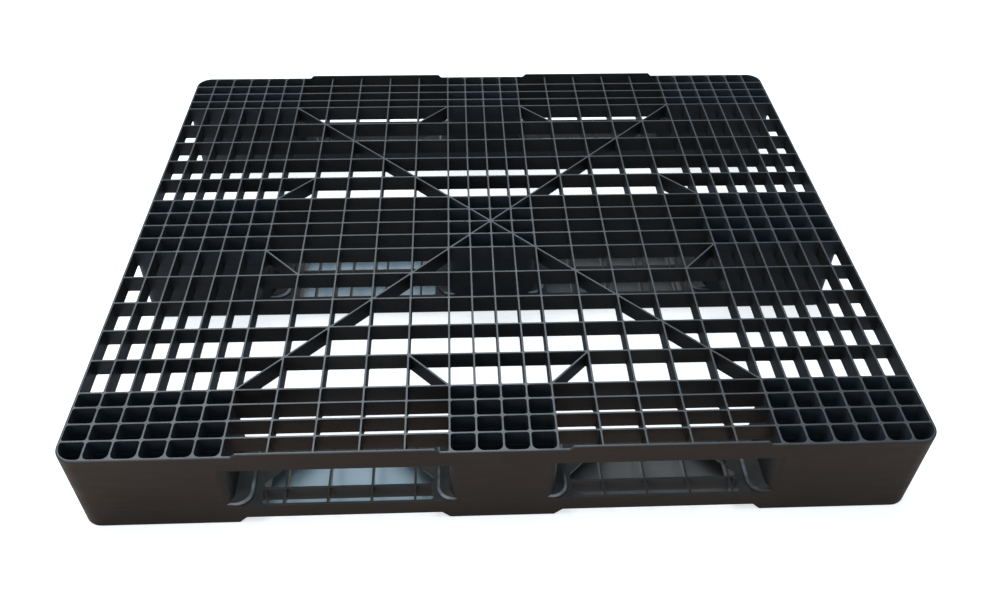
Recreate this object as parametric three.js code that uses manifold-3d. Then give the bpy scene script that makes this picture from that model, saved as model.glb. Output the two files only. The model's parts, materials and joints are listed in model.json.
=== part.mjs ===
// A plastic grid-deck pallet, 1200 x 1000 mm, on three runners.
// Millimetres, +Z up. Origin on the floor, under the middle of the deck. X runs along the runners.
import * as THREE from 'three';
import { mergeVertices } from 'three/addons/utils/BufferGeometryUtils.js';
import Module from 'manifold-3d';

const wasm = await Module();
wasm.setup();

// ---- driving dimensions ---------------------------------------------------------------------
const LENGTH = 1200;          // along X
const WIDTH = 1000;           // along Y
const DECK_TOP = 150;         // top of the rib grid
const RIM_RISE = 6;           // how far the rim over a fork opening stands above the grid
const RIB_DEPTH = 29;         // height of the deck ribs and of the skirt
const RIB = 3;                // rib thickness
const WALL = 4;               // thickness of the outer skirt and of the runner walls
const CORNER_R = 28;          // plan radius of the pallet's corners
const LEG_R = 16;             // plan radius of a leg's corners beside the fork openings
const RUNNER_TOP = 40;        // height of the runners
const GAP = 0.3;              // clearance between pieces that touch
const ARC_STEPS = 3;          // flats in a quarter turn
const FLATNESS = 0.01;        // faces closer to flat than this are one face

// Centre lines of the main ribs in one half of the deck, from the edge to the centre.
const EDGE_X = LENGTH / 2 - WALL / 2;
const EDGE_Y = WIDTH / 2 - WALL / 2;
const HALF_X = [EDGE_X, 525, 452, 378.5, 317.5, 256.5, 195, 134, 73.5];
const HALF_Y = [EDGE_Y, 436, 379.5, 317, 255.5, 194, 134, 71];
const RIB_X = [...HALF_X.map((x) => -x), 0, ...HALF_X.toReversed()];
const RIB_Y = [...HALF_Y.map((y) => -y), 0, ...HALF_Y.toReversed()];

// Columns and rows of legs, as rib numbers: first rib, last rib.
const LEG_COLUMNS = [[0, 3], [8, 10], [15, 18]];
const LEG_ROWS = [[0, 2], [7, 9], [14, 16]];

// Diagonal deck ribs, as pairs of rib crossings [column, row]; each is mirrored left to right.
const DIAGONALS = [
  [[3, 2], [9, 8]],
  [[9, 8], [15, 14]],
  [[7, 3], [8, 2]],
  [[3, 7], [4, 6]],
  [[3, 9], [4, 10]],
  [[7, 13], [8, 14]],
];

// Flanges round the feet of the legs, standing on the runners inside the fork openings.
const FLANGE_HEIGHT = 4;
const FLANGE_R = 22;          // plan radius of their corners
const FLANGE_EDGES = [353, 94]; // |X| of the flanges' ends: outer legs, middle legs

// Raised rim over the fork openings in the long sides.
const RIM_INSET = 13;         // from the leg's edge rib to the foot of the rim's ramp
const RIM_RAMP = 8;           // length of that ramp

// Runners.
const FOOT_PLATE = 5;         // thickness of the plate under a leg
const FOOT_EDGES = [341, 99]; // |X| of the feet's ends in the fork openings: outer feet, middle foot
const BEVEL_RISE = 12;        // height of the raised underside along an outer edge
const BEVEL_DEPTH = 34;       // how far in it reaches
const OUTER_RIB_INSET = 30;   // lengthwise rib behind the outer wall of the front and rear runners
const CROSS_RIB_DEPTH = 14;   // height of the ribs across a runner
const CROSS_RIB_STARTS = [-310, 146]; // X of the first cross rib in each fork opening
const CROSS_RIB_PITCH = 61.7;
const CROSS_RIBS = 4;         // in each fork opening
const GUSSET = 80;            // leg length of the 45 degree gussets in the front and rear runners

// Screws that hold the runners to the legs.
const SCREW_R = 3.5;
const SCREW_LENGTH = 30;
const HEAD_R = 8;
const HEAD_HEIGHT = 4;
const POST_HEIGHT = 34;       // solid post in the leg that takes the thread
const POST_X = 36;            // its size along X, from the leg's end wall
const POST_Y = 29;            // and across, beside the leg's middle rib
const HOLE_CLEARANCE = 0.6;

// ---- solids ---------------------------------------------------------------------------------
function solidOf(geometry) {
  geometry.deleteAttribute('normal');
  geometry.deleteAttribute('uv');
  const merged = mergeVertices(geometry.index ? geometry.toNonIndexed() : geometry, 1e-4);
  const vertProperties = new Float32Array(merged.attributes.position.array);
  const triVerts = new Uint32Array(merged.index.array);
  return new wasm.Manifold(new wasm.Mesh({ numProp: 3, vertProperties, triVerts }));
}

function geometryOf(solid) {
  const mesh = solid.getMesh();
  const geometry = new THREE.BufferGeometry();
  geometry.setAttribute('position', new THREE.BufferAttribute(new Float32Array(mesh.vertProperties), 3));
  geometry.setIndex(new THREE.BufferAttribute(new Uint32Array(mesh.triVerts), 1));
  return geometry;
}

function join(solids) {
  return wasm.Manifold.union(solids);
}

// The same solid with the flat faces that its pieces left in strips made whole again.
function tidied(solid) {
  return solid.asOriginal().simplify(FLATNESS);
}

function box(x0, x1, y0, y1, z0, z1) {
  const geometry = new THREE.BoxGeometry(x1 - x0, y1 - y0, z1 - z0);
  geometry.translate((x0 + x1) / 2, (y0 + y1) / 2, (z0 + z1) / 2);
  return solidOf(geometry);
}

// A rib of the given thickness standing on the line between two plan points.
function rib(a, b, thickness, z0, z1) {
  const run = new THREE.Vector2().subVectors(b, a);
  const geometry = new THREE.BoxGeometry(run.length(), thickness, z1 - z0);
  geometry.rotateZ(run.angle());
  geometry.translate((a.x + b.x) / 2, (a.y + b.y) / 2, (z0 + z1) / 2);
  return solidOf(geometry);
}

function prism(shape, z0, z1) {
  const options = { depth: z1 - z0, bevelEnabled: false, curveSegments: ARC_STEPS };
  const geometry = new THREE.ExtrudeGeometry(shape, options);
  geometry.translate(0, 0, z0);
  return solidOf(geometry);
}

// Outline of a rectangle with a radius on each corner: [x0 y0, x1 y0, x1 y1, x0 y1].
function outline(x0, x1, y0, y1, radii) {
  const [a, b, c, d] = radii;
  const shape = new THREE.Shape();
  shape.moveTo(x0 + a, y0);
  shape.lineTo(x1 - b, y0);
  shape.absarc(x1 - b, y0 + b, b, -Math.PI / 2, 0, false);
  shape.lineTo(x1, y1 - c);
  shape.absarc(x1 - c, y1 - c, c, 0, Math.PI / 2, false);
  shape.lineTo(x0 + d, y1);
  shape.absarc(x0 + d, y1 - d, d, Math.PI / 2, Math.PI, false);
  shape.lineTo(x0, y0 + a);
  shape.absarc(x0 + a, y0 + a, a, Math.PI, Math.PI * 1.5, false);
  return shape;
}

// A wall of the given thickness standing on the inside of a rounded rectangle.
function ring(x0, x1, y0, y1, radii, thickness, z0, z1) {
  const t = thickness;
  const outer = prism(outline(x0, x1, y0, y1, radii), z0, z1);
  const inner = outline(x0 + t, x1 - t, y0 + t, y1 - t, radii.map((r) => Math.max(r - t, 1)));
  return outer.subtract(prism(inner, z0 - 1, z1 + 1));
}

function hexPrism(x, y, radius, z0, z1) {
  const geometry = new THREE.CylinderGeometry(radius, radius, z1 - z0, 6);
  geometry.rotateX(Math.PI / 2);
  geometry.translate(x, y, (z0 + z1) / 2);
  return solidOf(geometry);
}

// ---- legs -----------------------------------------------------------------------------------
// Plan box of the leg in a column and a row, and the radius of each of its corners.
function legPlan(column, row) {
  const [i0, i1] = LEG_COLUMNS[column];
  const [j0, j1] = LEG_ROWS[row];
  const x0 = i0 === 0 ? -LENGTH / 2 : RIB_X[i0] - RIB / 2;
  const x1 = i1 === RIB_X.length - 1 ? LENGTH / 2 : RIB_X[i1] + RIB / 2;
  const y0 = j0 === 0 ? -WIDTH / 2 : RIB_Y[j0] - RIB / 2;
  const y1 = j1 === RIB_Y.length - 1 ? WIDTH / 2 : RIB_Y[j1] + RIB / 2;
  const radius = (x, y) => (Math.abs(x) === LENGTH / 2 && Math.abs(y) === WIDTH / 2 ? CORNER_R : LEG_R);
  const radii = [radius(x0, y0), radius(x1, y0), radius(x1, y1), radius(x0, y1)];
  return { i0, i1, j0, j1, x0, x1, y0, y1, radii };
}

// Two screws hold each leg, one beside each end wall, on either side of the middle rib.
function screwPoints({ x0, x1, j0, j1 }) {
  const middle = RIB_Y[(j0 + j1) / 2];
  return [[x0 + POST_X / 2, middle - POST_Y / 2], [x1 - POST_X / 2, middle + POST_Y / 2]];
}

const LEGS = LEG_ROWS.flatMap((_, row) => LEG_COLUMNS.map((__, column) => legPlan(column, row)));
const LEG_BOTTOM = RUNNER_TOP + GAP;
const RIB_BOTTOM = DECK_TOP - RIB_DEPTH;

// The flange reaches out from the leg's end walls, but not past the ends of the pallet.
function flange({ x0, x1, y0, y1, radii }) {
  const [outerEdge, middleEdge] = FLANGE_EDGES;
  const reach = (x) => {
    if (Math.abs(x) === LENGTH / 2) return x;
    return Math.sign(x) * (Math.abs(x0 + x1) < 1 ? middleEdge : outerEdge);
  };
  const ends = [x0, x1, x1, x0];
  const corners = radii.map((r, k) => (reach(ends[k]) === ends[k] ? r : FLANGE_R));
  const plate = prism(outline(reach(x0), reach(x1), y0, y1, corners), LEG_BOTTOM, LEG_BOTTOM + FLANGE_HEIGHT);
  const inner = outline(x0 + 1, x1 - 1, y0 + 1, y1 - 1, radii.map((r) => r - 1));
  return plate.subtract(prism(inner, LEG_BOTTOM - 1, LEG_BOTTOM + FLANGE_HEIGHT + 1));
}

// A leg is a bundle of deep open cells inside a rounded wall, with two solid screw posts and a flange.
function leg(plan) {
  const { i0, i1, j0, j1, x0, x1, y0, y1, radii } = plan;
  const body = prism(outline(x0, x1, y0, y1, radii), LEG_BOTTOM, DECK_TOP);
  const parts = [ring(x0, x1, y0, y1, radii, WALL, LEG_BOTTOM, RIB_BOTTOM + 1)];
  RIB_X.slice(i0 + 1, i1).forEach((x) => {
    parts.push(box(x - RIB / 2, x + RIB / 2, y0, y1, LEG_BOTTOM, RIB_BOTTOM + 1));
  });
  RIB_Y.slice(j0 + 1, j1).forEach((y) => {
    parts.push(box(x0, x1, y - RIB / 2, y + RIB / 2, LEG_BOTTOM, RIB_BOTTOM + 1));
  });
  screwPoints(plan).forEach(([x, y]) => {
    const [dx, dy] = [POST_X / 2, POST_Y / 2];
    parts.push(box(x - dx, x + dx, y - dy, y + dy, LEG_BOTTOM, LEG_BOTTOM + POST_HEIGHT));
  });
  return join(parts).intersect(body).add(flange(plan));
}

// ---- top deck -------------------------------------------------------------------------------
function deckGrid() {
  const ribs = [];
  RIB_X.slice(1, -1).forEach((x) => {
    ribs.push(box(x - RIB / 2, x + RIB / 2, -EDGE_Y, EDGE_Y, RIB_BOTTOM, DECK_TOP));
  });
  RIB_Y.slice(1, -1).forEach((y) => {
    ribs.push(box(-EDGE_X, EDGE_X, y - RIB / 2, y + RIB / 2, RIB_BOTTOM, DECK_TOP));
  });
  const crossing = ([i, j]) => new THREE.Vector2(RIB_X[i], RIB_Y[j]);
  const mirrored = ([i, j]) => new THREE.Vector2(-RIB_X[i], RIB_Y[j]);
  DIAGONALS.forEach(([from, to]) => {
    ribs.push(rib(crossing(from), crossing(to), RIB, RIB_BOTTOM, DECK_TOP));
    ribs.push(rib(mirrored(from), mirrored(to), RIB, RIB_BOTTOM, DECK_TOP));
  });
  return join(ribs);
}

// The rim over one fork opening: a low trapezium standing on the skirt.
function raisedRim(x0, x1, side) {
  const shape = new THREE.Shape();
  shape.moveTo(x0, DECK_TOP - 1);
  shape.lineTo(x1, DECK_TOP - 1);
  shape.lineTo(x1, DECK_TOP);
  shape.lineTo(x1 - RIM_RAMP, DECK_TOP + RIM_RISE);
  shape.lineTo(x0 + RIM_RAMP, DECK_TOP + RIM_RISE);
  shape.lineTo(x0, DECK_TOP);
  shape.closePath();
  const geometry = new THREE.ExtrudeGeometry(shape, { depth: WALL, bevelEnabled: false });
  geometry.rotateX(Math.PI / 2);
  geometry.translate(0, side > 0 ? WIDTH / 2 : -WIDTH / 2 + WALL, 0);
  return solidOf(geometry);
}

function topDeck() {
  const corners = [CORNER_R, CORNER_R, CORNER_R, CORNER_R];
  const bounds = [-LENGTH / 2, LENGTH / 2, -WIDTH / 2, WIDTH / 2];
  const plan = prism(outline(...bounds, corners), RIB_BOTTOM, DECK_TOP);
  const skirt = ring(...bounds, corners, WALL, RIB_BOTTOM, DECK_TOP);
  const parts = [deckGrid().intersect(plan), skirt, ...LEGS.map(leg)];
  LEG_COLUMNS.slice(0, -1).forEach((_, bay) => {
    const x0 = RIB_X[LEG_COLUMNS[bay][1]] + RIM_INSET;
    const x1 = RIB_X[LEG_COLUMNS[bay + 1][0]] - RIM_INSET;
    parts.push(raisedRim(x0, x1, -1), raisedRim(x0, x1, 1));
  });
  const holeTop = LEG_BOTTOM + POST_HEIGHT - FOOT_PLATE;
  const holes = LEGS.flatMap(screwPoints).map(([x, y]) => (
    hexPrism(x, y, SCREW_R + HOLE_CLEARANCE, LEG_BOTTOM - 1, holeTop)
  ));
  return tidied(join(parts).subtract(join(holes)));
}

// ---- runners --------------------------------------------------------------------------------
// The part of a runner under one leg, between x0 and x1: a plate on walls and ribs.
function foot(plan, x0, x1) {
  const plateBottom = RUNNER_TOP - FOOT_PLATE;
  const parts = [box(x0, x1, plan.y0 + 1, plan.y1 - 1, plateBottom, RUNNER_TOP)];
  [x0, x1 - RIB].filter((x) => Math.abs(x) < LENGTH / 2 - WALL).forEach((x) => {
    parts.push(box(x, x + RIB, plan.y0 + 1, plan.y1 - 1, 0, RUNNER_TOP));
  });
  RIB_X.slice(plan.i0 + 1, plan.i1).forEach((x) => {
    parts.push(box(x - RIB / 2, x + RIB / 2, plan.y0 + 1, plan.y1 - 1, 0, RUNNER_TOP));
  });
  const middle = RIB_Y[(plan.j0 + plan.j1) / 2];
  parts.push(box(x0, x1, middle - RIB / 2, middle + RIB / 2, 0, RUNNER_TOP));
  return join(parts);
}

// A flat 45 degree gusset between a foot and one of the runner's walls.
function gusset(x, direction, wallY, inward) {
  const shape = new THREE.Shape();
  shape.moveTo(x - direction, wallY);
  shape.lineTo(x + direction * GUSSET, wallY);
  shape.lineTo(x, wallY - inward * GUSSET);
  shape.lineTo(x - direction, wallY - inward * GUSSET);
  shape.closePath();
  return prism(shape, RUNNER_TOP - FOOT_PLATE, RUNNER_TOP);
}

// Raised underside along the outer edge between two feet, with 45 degree ends.
function bevelCut(x0, x1, outerY, inward) {
  const shape = new THREE.Shape();
  shape.moveTo(x0 - 1, -1);
  shape.lineTo(x1 + 1, -1);
  shape.lineTo(x1 - BEVEL_RISE, BEVEL_RISE);
  shape.lineTo(x0 + BEVEL_RISE, BEVEL_RISE);
  shape.closePath();
  const geometry = new THREE.ExtrudeGeometry(shape, { depth: BEVEL_DEPTH + 1, bevelEnabled: false });
  geometry.rotateX(Math.PI / 2);
  geometry.translate(0, inward > 0 ? outerY + BEVEL_DEPTH : outerY + 1, 0);
  return solidOf(geometry);
}

function runner(row) {
  const legs = LEGS.filter((plan) => plan.j0 === LEG_ROWS[row][0]);
  const [{ y0, y1 }] = legs;
  const frontR = row === 0 ? CORNER_R : LEG_R;
  const rearR = row === 2 ? CORNER_R : LEG_R;
  const bounds = [-LENGTH / 2, LENGTH / 2, y0, y1];
  const corners = [frontR, frontR, rearR, rearR];
  const body = prism(outline(...bounds, corners), 0, RUNNER_TOP);
  const parts = [ring(...bounds, corners, WALL, 0, RUNNER_TOP)];

  const [outerEnd, middleEnd] = FOOT_EDGES;
  const feet = [[-LENGTH / 2 + 1, -outerEnd], [-middleEnd, middleEnd], [outerEnd, LENGTH / 2 - 1]];
  legs.forEach((plan, column) => parts.push(foot(plan, ...feet[column])));

  const lengthwise = [y0 + OUTER_RIB_INSET, 0, y1 - OUTER_RIB_INSET][row];
  const bays = [[-outerEnd, -middleEnd], [middleEnd, outerEnd]];
  bays.forEach(([x0, x1]) => {
    parts.push(box(x0 - 1, x1 + 1, lengthwise - RIB / 2, lengthwise + RIB / 2, 0, RUNNER_TOP));
  });

  // The rear runner is the front one turned round.
  const turn = row === 2 ? -1 : 1;
  CROSS_RIB_STARTS.forEach((start) => {
    for (let k = 0; k < CROSS_RIBS; k += 1) {
      const x = turn * (start + k * CROSS_RIB_PITCH);
      const z0 = RUNNER_TOP - CROSS_RIB_DEPTH;
      parts.push(box(x - RIB / 2, x + RIB / 2, y0 + 1, y1 - 1, z0, RUNNER_TOP));
    }
  });

  bays.forEach(([x0, x1]) => {
    if (row === 0) parts.push(gusset(x0, 1, y1 - 1, 1), gusset(x1, -1, y1 - 1, 1));
    if (row === 2) parts.push(gusset(x0, 1, y0 + 1, -1), gusset(x1, -1, y0 + 1, -1));
  });

  const cuts = legs.flatMap(screwPoints).map(([x, y]) => (
    hexPrism(x, y, SCREW_R + HOLE_CLEARANCE, 1, RUNNER_TOP + 1)
  ));
  if (row !== 1) {
    cuts.push(bevelCut(legs[0].x1, legs[1].x0, row === 0 ? y0 : y1, turn));
    cuts.push(bevelCut(legs[1].x1, legs[2].x0, row === 0 ? y0 : y1, turn));
  }
  return tidied(join(parts).intersect(body).subtract(join(cuts)));
}

// ---- screws ---------------------------------------------------------------------------------
// Hex-headed self-tapping screw, driven upwards: the head's upper face is at z = 0.
function screwGeometry() {
  const taper = SCREW_R;
  const profile = [
    new THREE.Vector2(0, -HEAD_HEIGHT),
    new THREE.Vector2(HEAD_R, -HEAD_HEIGHT),
    new THREE.Vector2(HEAD_R, 0),
    new THREE.Vector2(SCREW_R, 0),
    new THREE.Vector2(SCREW_R, SCREW_LENGTH - taper),
    new THREE.Vector2(0, SCREW_LENGTH),
  ];
  const geometry = new THREE.LatheGeometry(profile, 6);
  geometry.rotateX(Math.PI / 2);
  return geometryOf(solidOf(geometry));
}

// ---- assembly -------------------------------------------------------------------------------
const plastic = () => new THREE.MeshStandardMaterial({ color: 0x332f2c, roughness: 0.5, metalness: 0 });
const steel = () => new THREE.MeshStandardMaterial({ color: 0x9a9c9e, roughness: 0.35, metalness: 1 });

const pallet = new THREE.Group();

function addMesh(name, geometry, material) {
  const mesh = new THREE.Mesh(geometry, material);
  mesh.name = name;
  pallet.add(mesh);
  return mesh;
}

addMesh('top_deck', geometryOf(topDeck()), plastic());
const ROW_NAMES = ['front', 'middle', 'rear'];
ROW_NAMES.forEach((name, row) => addMesh(`${name}_runner`, geometryOf(runner(row)), plastic()));

const COLUMN_NAMES = ['left', 'centre', 'right'];
ROW_NAMES.forEach((rowName, row) => COLUMN_NAMES.forEach((columnName, column) => {
  screwPoints(legPlan(column, row)).forEach(([x, y], k) => {
    const screw = addMesh(`screw_${rowName}_${columnName}_${k + 1}`, screwGeometry(), steel());
    screw.position.set(x, y, RUNNER_TOP - FOOT_PLATE - GAP);
  });
}));

export default pallet;
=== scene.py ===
"""A dark plastic grid-deck pallet on three runners, for Blender 4.5. The pallet's sizes are in
millimetres; the camera, the heights in the materials and the stage are in metres."""
import json
import math

import bmesh
import bpy
from mathutils import Matrix, Vector


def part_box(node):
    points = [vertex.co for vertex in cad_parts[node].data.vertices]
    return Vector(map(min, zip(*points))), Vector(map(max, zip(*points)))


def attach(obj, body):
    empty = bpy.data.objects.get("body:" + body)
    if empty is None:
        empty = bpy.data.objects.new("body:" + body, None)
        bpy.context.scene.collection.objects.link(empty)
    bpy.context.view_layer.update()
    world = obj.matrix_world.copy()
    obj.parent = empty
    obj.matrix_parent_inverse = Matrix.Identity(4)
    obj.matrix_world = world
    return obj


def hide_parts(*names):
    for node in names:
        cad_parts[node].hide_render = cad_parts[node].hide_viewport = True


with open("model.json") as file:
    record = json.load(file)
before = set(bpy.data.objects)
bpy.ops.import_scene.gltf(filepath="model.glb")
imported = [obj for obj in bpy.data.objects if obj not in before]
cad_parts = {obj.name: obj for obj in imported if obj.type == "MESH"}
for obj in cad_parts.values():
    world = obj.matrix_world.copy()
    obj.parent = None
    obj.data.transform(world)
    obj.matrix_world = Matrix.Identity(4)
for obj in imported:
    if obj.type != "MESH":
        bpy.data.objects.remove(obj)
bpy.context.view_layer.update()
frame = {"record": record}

MM = 0.001

# ---- heights and half sizes, from the frame ----
mounts = {mount["name"]: mount for mount in frame["record"]["mounts"]}
deck_low, deck_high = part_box("top_deck")
runner_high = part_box("front_runner")[1]
HALF_LENGTH = round(deck_high.x / MM, 2)
HALF_WIDTH = round(deck_high.y / MM, 2)
DECK_TOP = round(mounts["load_deck"]["pos_m"][2] / MM, 2)
RIM_TOP = round(deck_high.z / MM, 2)
RUNNER_TOP = round(runner_high.z / MM, 2)

# ---- deck ----
RIB = 3.0                 # rib thickness
WALL = 4.0                # thickness of the skirt and of the legs' and runners' walls
RIB_DEPTH = 29.0          # height of the deck ribs and of the skirt
RIB_BOTTOM = DECK_TOP - RIB_DEPTH
CORNER_R = 28.0           # plan radius of the pallet's corners
LEG_R = 16.0              # plan radius of a leg's other corners

# Centre lines of the ribs: distances from the middle on one side, mirrored to the other.
EDGE_X = HALF_LENGTH - WALL / 2
EDGE_Y = HALF_WIDTH - WALL / 2
HALF_X = [EDGE_X, 561.5, 525, 488.5, 452, 415.5, 378.5, 317.5, 256.5, 195, 134, 73.5, 36.75]
HALF_Y = [EDGE_Y, 465.5, 436, 406.5, 379.5, 317, 255.5, 194, 134, 71, 34.5]
RIB_X = [-x for x in HALF_X] + [0.0] + HALF_X[::-1]
RIB_Y = [-y for y in HALF_Y] + [0.0] + HALF_Y[::-1]

# First and last rib of each leg, and the inner edges of the outer and middle legs.
LEG_COLUMNS = [(0, 6), (11, 15), (20, 26)]
LEG_ROWS = [(0, 4), (9, 13), (18, 22)]
LEG_EDGES_X = (RIB_X[LEG_COLUMNS[2][0]] - RIB / 2, RIB_X[LEG_COLUMNS[1][1]] + RIB / 2)
LEG_EDGES_Y = (RIB_Y[LEG_ROWS[2][0]] - RIB / 2, RIB_Y[LEG_ROWS[1][1]] + RIB / 2)

# Diagonal ribs, as pairs of rib crossings (column, row); each is mirrored left to right.
DIAGONALS = [
    ((6, 4), (20, 18)),
    ((10, 5), (11, 4)),
    ((6, 9), (7, 8)),
    ((6, 13), (7, 14)),
    ((10, 17), (11, 18)),
]

# ---- edges and corners ----
RIB_ROUND = 0.6           # rounding along the top of a rib
RIB_ROUND_STEPS = 3
FOOT_CHAMFER = 0.25       # chamfer along the bottom of a rib
SKIRT_ROUND = 2.6         # rounding along the top of the skirt
SKIRT_ROUND_STEPS = 5
SKIRT_FOOT_ROUND = 1.0    # rounding along the bottom of the skirt
BAY_CELL_R = 1.8          # corner radius of the open cells
LEG_CELL_R = 3.6          # corner radius of the cells over the legs
SKIRT_CELL_R = 8.0        # and of their corners beside the front and rear skirt
ACUTE_CELL_R = 0.8        # and of the sharp corners beside a diagonal rib
WEB = 2.0                 # thickness of the web that closes a leg's corners, outside its wall
SHARP_TURN = math.radians(95)     # a corner where the outline turns by more than this is sharp
CORNER_SHARE = 0.45       # how much of its shorter side a corner's rounding may take up
MIN_CELL_AREA = 12.0      # square millimetres; a smaller piece of a cell stays solid
SHORTEST_SIDE = 0.6       # a shorter side of an outline is left out
SHARP_ANGLE = math.radians(38)    # faces that meet at more than this keep a sharp edge

# ---- raised rims ----
RIM_INSET = 13.0          # from the leg's edge rib to the foot of the rim's ramp
RIM_RAMP = 8.0
RIM_RAMP_STEPS = 5
RIM_ROOT = 12.0           # how far the rim reaches down inside the skirt

# ---- legs ----
LEG_GAP = 0.02            # a leg all but touches its runner
SEAM_ROUND = 0.1          # chamfer along the seam between them
POCKET_INSET = 0.4        # how much a pocket is narrower than the cell above it, each side
POCKET_DRAFT = 0.8        # how much it narrows further towards its bottom, each side
POCKET_TRIM_R = 1.0       # corner radius of a pocket's outline before it is inset
POCKET_R = 2.0            # and of the pocket itself
POCKET_OVERLAP = 0.3      # how far it reaches into the cell above it
POST_HEIGHT = 34.0        # solid posts that take the screws
POST_X = 36.0             # plan size of a post
POST_Y = 29.0
FLANGE_TOP = RUNNER_TOP + 4.3
FLANGE_EDGES = (353.0, 94.0)    # |X| of the ends of the flanges: outer legs, middle legs
FLANGE_R = 22.0
FLANGE_ROUND = 3.2        # rounding along a flange's upper edge
FLANGE_ROUND_STEPS = 4
FLANGE_SLOPE = 8.0        # how much a flange rises from there to the leg
FLANGE_ROOT = 3.0         # how far it goes on inside the leg

# ---- runners ----
FOOT_PLATE = 5.0          # thickness of the plate on top of a foot
FOOT_EDGES = (341.0, 99.0)      # |X| of the ends of the feet: outer feet, middle feet
OPENING_R = 4.0           # corner radius of a runner's openings and pockets
OPENING_ROUND = 0.8       # rounding along their edges on the underside
BEVEL_RISE = 12.0         # height of the raised underside between two feet
BEVEL_DEPTH = 34.0        # how far it reaches in from the outer face
BEVEL_R = 3.0
BEVEL_LIP = 1.0           # rounding where it meets the outer face
BEVEL_LIP_MIDDLE = 0.3    # distance of the lip's middle from both faces
BEVEL_BELOW = 6.0         # how far its cutter starts below the floor
OUTER_RIB_INSET = 30.0    # from a front or rear runner's outer face to its lengthwise rib
CROSS_RIB_DEPTH = 14.0
CROSS_RIB_STARTS = (-310.0, 146.0)    # X of the first cross rib of each opening
CROSS_RIB_PITCH = 61.7
CROSS_RIBS = 4
CROSS_RIB_R = 0.4         # plan radius of a cross rib's hidden ends
GUSSET = 80.0             # leg length of the 45 degree gussets
GUSSET_R = 0.5
MEMBER_FOOT_ROUND = 0.5   # chamfer along the bottom of cross ribs and gussets
SOLE_ROUND = 1.6          # rounding along the runner's bottom edge
SOLE_ROUND_STEPS = 3

ROW_NAMES = ["front", "middle", "rear"]
COLUMN_NAMES = ["left", "centre", "right"]


# ---- plan outlines ----
class Loop:
    """A convex counter-clockwise outline with round corners, which can be grown or shrunk."""

    def __init__(self, points, radii):
        if not isinstance(radii, (list, tuple)):
            radii = [radii] * len(points)
        self.points = []
        count = len(points)
        for k in range(count):
            corner = Vector(points[k])
            before = corner - Vector(points[k - 1])
            after = Vector(points[(k + 1) % count]) - corner
            turn = before.angle(after)
            shortest = min(before.length, after.length)
            radius = min(radii[k], CORNER_SHARE * shortest / math.tan(turn / 2))
            inward = Vector((-before.y, before.x)).normalized()
            centre = corner - before.normalized() * radius * math.tan(turn / 2) + inward * radius
            start = math.atan2(-inward.y, -inward.x)
            steps = max(1, round(turn / facet_angle(radius)))
            for step in range(steps + 1):
                angle = start + turn * step / steps
                self.points.append((centre, radius, Vector((math.cos(angle), math.sin(angle)))))

    def grown(self, distance):
        """The points of the outline moved outwards by distance, or inwards if it is negative."""
        return [centre + outward * (radius + distance) for centre, radius, outward in self.points]


def facet_angle(radius):
    """How much of a turn one flat of an arc takes, less on larger arcs."""
    for least, degrees in ((20, 9), (10, 15), (3, 30)):
        if radius >= least:
            return math.radians(degrees)
    return math.radians(45)


def clip(points, normal, offset):
    """The part of a convex polygon where normal . point <= offset."""
    kept = []
    for k, point in enumerate(points):
        before = points[k - 1]
        here = Vector(point).dot(normal) - offset
        there = Vector(before).dot(normal) - offset
        if here * there < 0:
            kept.append(tuple(Vector(before).lerp(Vector(point), there / (there - here))))
        if here <= 0:
            kept.append(tuple(point))
    return kept


def clip_to(points, outline):
    """The part of a convex polygon inside a convex counter-clockwise outline."""
    for k, end in enumerate(outline):
        start = Vector(outline[k - 1])
        along = (Vector(end) - start).normalized()
        outward = Vector((along.y, -along.x))
        points = clip(points, outward, outward.dot(start))
    return points


def area(points):
    """Positive for a counter-clockwise outline."""
    return sum(a[0] * b[1] - b[0] * a[1] for a, b in zip(points, points[1:] + points[:1])) / 2


def tidied(points):
    """The polygon without sides too short to matter."""
    kept = []
    for point in points:
        if not kept or (Vector(point) - Vector(kept[-1])).length > SHORTEST_SIDE:
            kept.append(point)
    if (Vector(kept[0]) - Vector(kept[-1])).length <= SHORTEST_SIDE:
        kept.pop()
    return kept


def rectangle(x0, x1, y0, y1):
    """Corners in counter-clockwise order, the front left one first."""
    return [(x0, y0), (x1, y0), (x1, y1), (x0, y1)]


# ---- meshes ----
class Solid:
    """Closed shells gathered for one mesh, in millimetres."""

    def __init__(self):
        self.vertices = []
        self.faces = []

    def stack(self, rings, lay=lambda u, v, w: (u, v, w)):
        """A closed shell through rings of equally many points; each ring is (points, height)."""
        base, count = len(self.vertices), len(rings[0][0])
        for points, height in rings:
            self.vertices.extend(lay(point[0], point[1], height) for point in points)
        for level in range(len(rings) - 1):
            low, high = base + level * count, base + (level + 1) * count
            for k in range(count):
                after = (k + 1) % count
                self.faces.append((low + k, low + after, high + after, high + k))
        last = base + (len(rings) - 1) * count
        self.faces.append(tuple(base + k for k in reversed(range(count))))
        self.faces.append(tuple(last + k for k in range(count)))

    def object(self, name):
        """A mesh object in metres, with its faces turned outwards."""
        mesh = bpy.data.meshes.new(name)
        in_metres = [tuple(c * MM for c in vertex) for vertex in self.vertices]
        mesh.from_pydata(in_metres, [], self.faces)
        work = bmesh.new()
        work.from_mesh(mesh)
        bmesh.ops.recalc_face_normals(work, faces=work.faces)
        work.to_mesh(mesh)
        work.free()
        made = bpy.data.objects.new(name, mesh)
        bpy.context.scene.collection.objects.link(made)
        return made


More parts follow.
